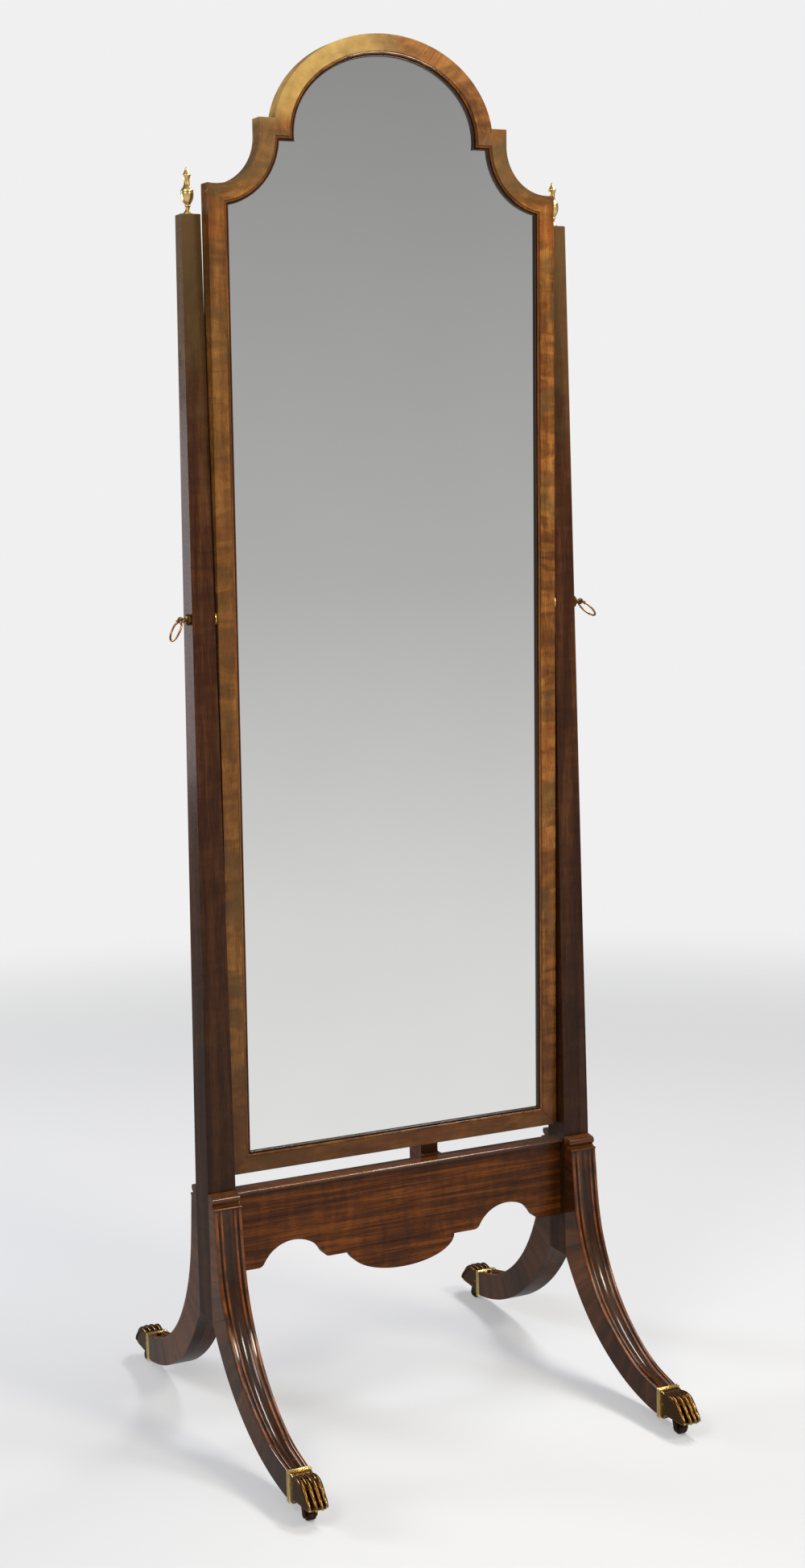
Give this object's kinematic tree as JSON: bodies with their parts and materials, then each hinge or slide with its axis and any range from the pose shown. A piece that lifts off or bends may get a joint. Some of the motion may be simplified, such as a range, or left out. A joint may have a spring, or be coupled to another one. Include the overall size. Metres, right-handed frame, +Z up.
{
  "type": "cheval mirror",
  "caption": "Free-standing full-length mirror: arched frame tilting between tapered uprights on sabre legs with brass paw caps and casters.",
  "frame": {"origin": "on the floor, midway between the legs both ways", "axes": "+Z up, +X to the right of someone facing the glass, -Y out of the glass towards them"},
  "size_m": [0.5786, 0.612, 1.7001],
  "materials": {
    "upright_wood": "French polished dark mahogany",
    "leg_wood": "French polished mahogany, moulded on its upper face",
    "dowel_wood": "plain turned hardwood",
    "apron_wood": "French polished mahogany with horizontal figure",
    "block_wood": "plain sawn hardwood, stained",
    "steel_screws": "slotted steel, dulled with age",
    "paw_brass": "cast brass with worn lacquer",
    "turned_brass": "turned and cast brass, aged",
    "caster_metal": "dark patinated brass",
    "frame_veneer": "veneered face, polished",
    "slip_wood": "polished bead",
    "silvered_glass": "silvered plate glass, slightly aged",
    "backboard_wood": "plain softwood board"
  },
  "bodies": {
    "stand": {"left_upright": "upright_wood", "right_upright": "upright_wood", "front_left_leg": "leg_wood", "front_right_leg": "leg_wood", "rear_left_leg": "leg_wood", "rear_right_leg": "leg_wood", "front_left_leg_cap": "leg_wood", "front_right_leg_cap": "leg_wood", "rear_left_leg_cap": "leg_wood", "rear_right_leg_cap": "leg_wood", "leg_dowels": "dowel_wood", "apron_board": "apron_wood", "apron_capping": "apron_wood", "stop_block": "block_wood", "stop_block_screws": "steel_screws", "front_left_paw_cap": "paw_brass", "front_right_paw_cap": "paw_brass", "rear_left_paw_cap": "paw_brass", "rear_right_paw_cap": "paw_brass", "paw_pins": "paw_brass", "left_finial": "turned_brass", "right_finial": "turned_brass", "left_pivot_washer": "turned_brass", "right_pivot_washer": "turned_brass"},
    "mirror": {"left_stile": "frame_veneer", "right_stile": "frame_veneer", "bottom_rail": "frame_veneer", "left_shoulder": "frame_veneer", "right_shoulder": "frame_veneer", "left_arch": "frame_veneer", "right_arch": "frame_veneer", "glass_slip": "slip_wood", "mirror_glass": "silvered_glass", "glass_blocks": "block_wood", "backboard": "backboard_wood", "backboard_screws": "steel_screws", "left_pivot_plate": "turned_brass", "right_pivot_plate": "turned_brass", "pivot_plate_screws": "turned_brass"},
    "left_pivot_screw": {"left_pivot_screw": "turned_brass"},
    "left_ring_handle": {"left_ring_handle": "turned_brass"},
    "right_pivot_screw": {"right_pivot_screw": "turned_brass"},
    "right_ring_handle": {"right_ring_handle": "turned_brass"},
    "front_left_caster": {"front_left_caster_fork": "caster_metal", "front_left_caster_axle": "caster_metal"},
    "front_left_wheel": {"front_left_caster_wheel": "caster_metal"},
    "front_right_caster": {"front_right_caster_fork": "caster_metal", "front_right_caster_axle": "caster_metal"},
    "front_right_wheel": {"front_right_caster_wheel": "caster_metal"},
    "rear_left_caster": {"rear_left_caster_fork": "caster_metal", "rear_left_caster_axle": "caster_metal"},
    "rear_left_wheel": {"rear_left_caster_wheel": "caster_metal"},
    "rear_right_caster": {"rear_right_caster_fork": "caster_metal", "rear_right_caster_axle": "caster_metal"},
    "rear_right_wheel": {"rear_right_caster_wheel": "caster_metal"}
  },
  "joints": [
    {"name": "mirror_tilt", "type": "hinge", "parent": "stand", "child": "mirror", "pos_m": [0, -0.008, 1.016], "axis": [-1, 0, 0], "range_deg": [0, 170]},
    {"name": "left_pivot_turn", "type": "hinge", "parent": "stand", "child": "left_pivot_screw", "pos_m": [-0.2604, -0.008, 1.016], "axis": [-1, 0, 0], "range_deg": [-180, 180]},
    {"name": "left_ring_swing", "type": "hinge", "parent": "left_pivot_screw", "child": "left_ring_handle", "pos_m": [-0.27271, -0.008, 1.016], "axis": [0, 1, 0], "range_deg": [-41, 169]},
    {"name": "right_pivot_turn", "type": "hinge", "parent": "stand", "child": "right_pivot_screw", "pos_m": [0.2604, -0.008, 1.016], "axis": [1, 0, 0], "range_deg": [-180, 180]},
    {"name": "right_ring_swing", "type": "hinge", "parent": "right_pivot_screw", "child": "right_ring_handle", "pos_m": [0.27271, -0.008, 1.016], "axis": [0, -1, 0], "range_deg": [-60, 150]},
    {"name": "front_left_swivel", "type": "hinge", "parent": "stand", "child": "front_left_caster", "pos_m": [-0.2495, -0.2685, 0.0276], "axis": [0, 0, 1], "continuous": true},
    {"name": "front_left_roll", "type": "hinge", "parent": "front_left_caster", "child": "front_left_wheel", "pos_m": [-0.2495, -0.2715, 0.008], "axis": [1, 0, 0], "continuous": true},
    {"name": "front_right_swivel", "type": "hinge", "parent": "stand", "child": "front_right_caster", "pos_m": [0.2495, -0.2685, 0.0276], "axis": [0, 0, 1], "continuous": true},
    {"name": "front_right_roll", "type": "hinge", "parent": "front_right_caster", "child": "front_right_wheel", "pos_m": [0.2495, -0.2715, 0.008], "axis": [1, 0, 0], "continuous": true},
    {"name": "rear_left_swivel", "type": "hinge", "parent": "stand", "child": "rear_left_caster", "pos_m": [-0.2495, 0.2685, 0.0276], "axis": [0, 0, 1], "continuous": true},
    {"name": "rear_left_roll", "type": "hinge", "parent": "rear_left_caster", "child": "rear_left_wheel", "pos_m": [-0.2495, 0.2715, 0.008], "axis": [1, 0, 0], "continuous": true},
    {"name": "rear_right_swivel", "type": "hinge", "parent": "stand", "child": "rear_right_caster", "pos_m": [0.2495, 0.2685, 0.0276], "axis": [0, 0, 1], "continuous": true},
    {"name": "rear_right_roll", "type": "hinge", "parent": "rear_right_caster", "child": "rear_right_wheel", "pos_m": [0.2495, 0.2715, 0.008], "axis": [1, 0, 0], "continuous": true}
  ]
}
